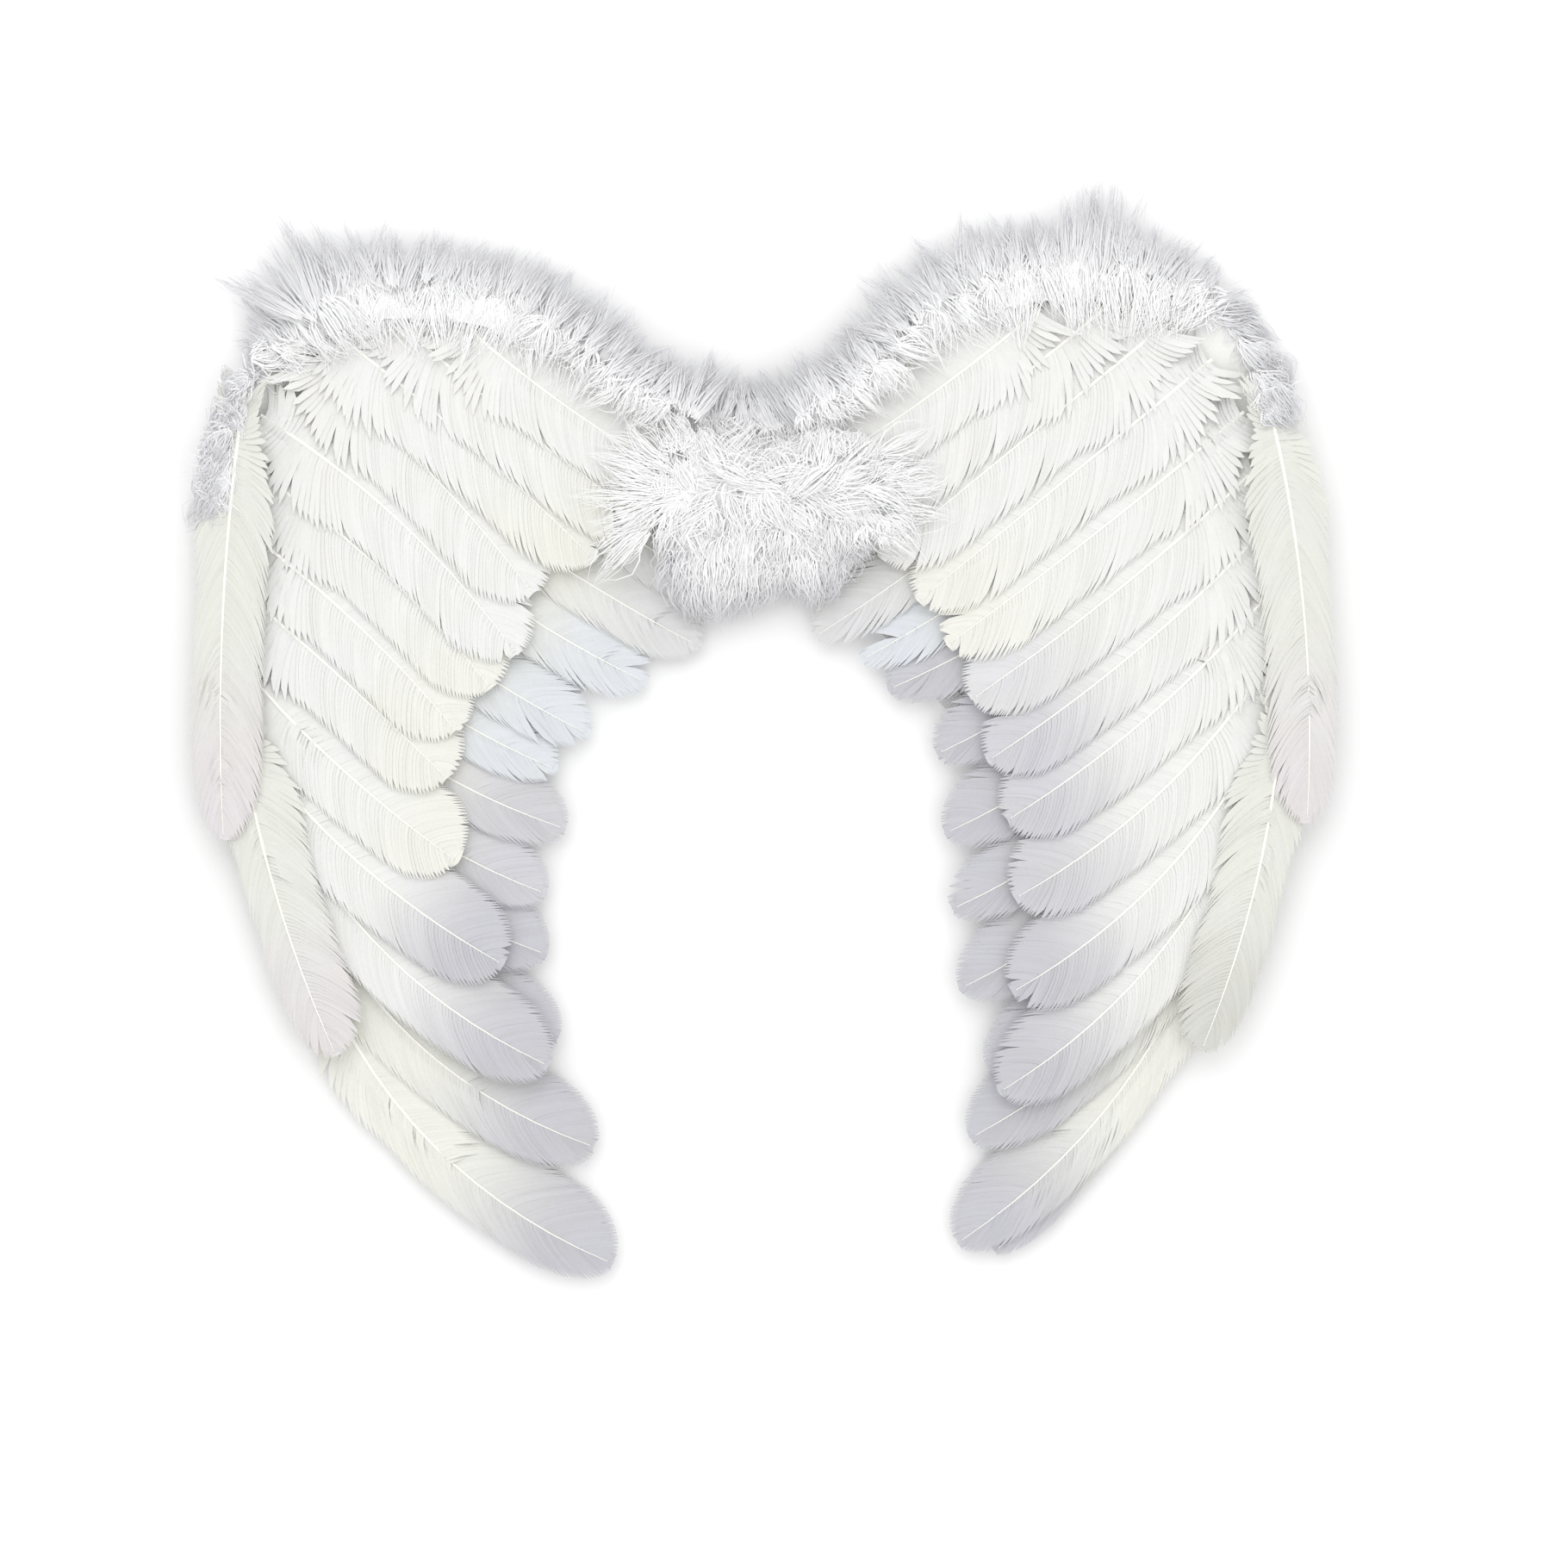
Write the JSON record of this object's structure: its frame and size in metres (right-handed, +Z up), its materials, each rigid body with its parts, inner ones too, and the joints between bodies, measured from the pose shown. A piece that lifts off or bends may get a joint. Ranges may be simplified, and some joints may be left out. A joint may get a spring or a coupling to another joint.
{
  "type": "costume angel wings",
  "caption": "White feather angel wings with marabou trims along the top and over the bridge, lying face up, as one flat piece joined in the middle with elastic shoulder straps behind.",
  "frame": {"origin": "middle of the underside of the whole, on the floor it lies on", "axes": "+Z up out of the front face, +Y to the top of the wings, +X to the right wing as it is seen"},
  "size_m": [0.4988, 0.4752, 0.0325],
  "materials": {
    "board": "white non-woven sheet",
    "elastic": "white woven elastic",
    "flight_feather": "thin white goose feather, half clear at its tip",
    "covert_feather": "white goose feather",
    "outer_feather": "soft white feather",
    "marabou": "loose white down"
  },
  "bodies": {
    "root": {"backing_board": "board", "elastic_strap_left": "elastic", "elastic_strap_right": "elastic", "flight_feather_left_01": "flight_feather", "flight_feather_left_02": "flight_feather", "flight_feather_left_03": "flight_feather", "flight_feather_left_04": "flight_feather", "flight_feather_left_05": "flight_feather", "flight_feather_left_06": "flight_feather", "flight_feather_left_07": "flight_feather", "flight_feather_left_08": "flight_feather", "flight_feather_left_09": "flight_feather", "flight_feather_left_10": "flight_feather", "flight_feather_left_11": "flight_feather", "flight_feather_right_01": "flight_feather", "flight_feather_right_02": "flight_feather", "flight_feather_right_03": "flight_feather", "flight_feather_right_04": "flight_feather", "flight_feather_right_05": "flight_feather", "flight_feather_right_06": "flight_feather", "flight_feather_right_07": "flight_feather", "flight_feather_right_08": "flight_feather", "flight_feather_right_09": "flight_feather", "flight_feather_right_10": "flight_feather", "flight_feather_right_11": "flight_feather", "covert_feather_left_01": "covert_feather", "covert_feather_left_02": "covert_feather", "covert_feather_left_03": "covert_feather", "covert_feather_left_04": "covert_feather", "covert_feather_left_05": "covert_feather", "covert_feather_left_06": "covert_feather", "covert_feather_left_07": "covert_feather", "covert_feather_left_08": "covert_feather", "covert_feather_left_09": "covert_feather", "covert_feather_left_10": "covert_feather", "covert_feather_left_11": "covert_feather", "covert_feather_right_01": "covert_feather", "covert_feather_right_02": "covert_feather", "covert_feather_right_03": "covert_feather", "covert_feather_right_04": "covert_feather", "covert_feather_right_05": "covert_feather", "covert_feather_right_06": "covert_feather", "covert_feather_right_07": "covert_feather", "covert_feather_right_08": "covert_feather", "covert_feather_right_09": "covert_feather", "covert_feather_right_10": "covert_feather", "covert_feather_right_11": "covert_feather", "outer_feather_left_01": "outer_feather", "outer_feather_left_02": "outer_feather", "outer_feather_right_01": "outer_feather", "outer_feather_right_02": "outer_feather", "marabou_trim_left": "marabou", "marabou_trim_right": "marabou", "marabou_centre": "marabou"}
  },
  "joints": []
}
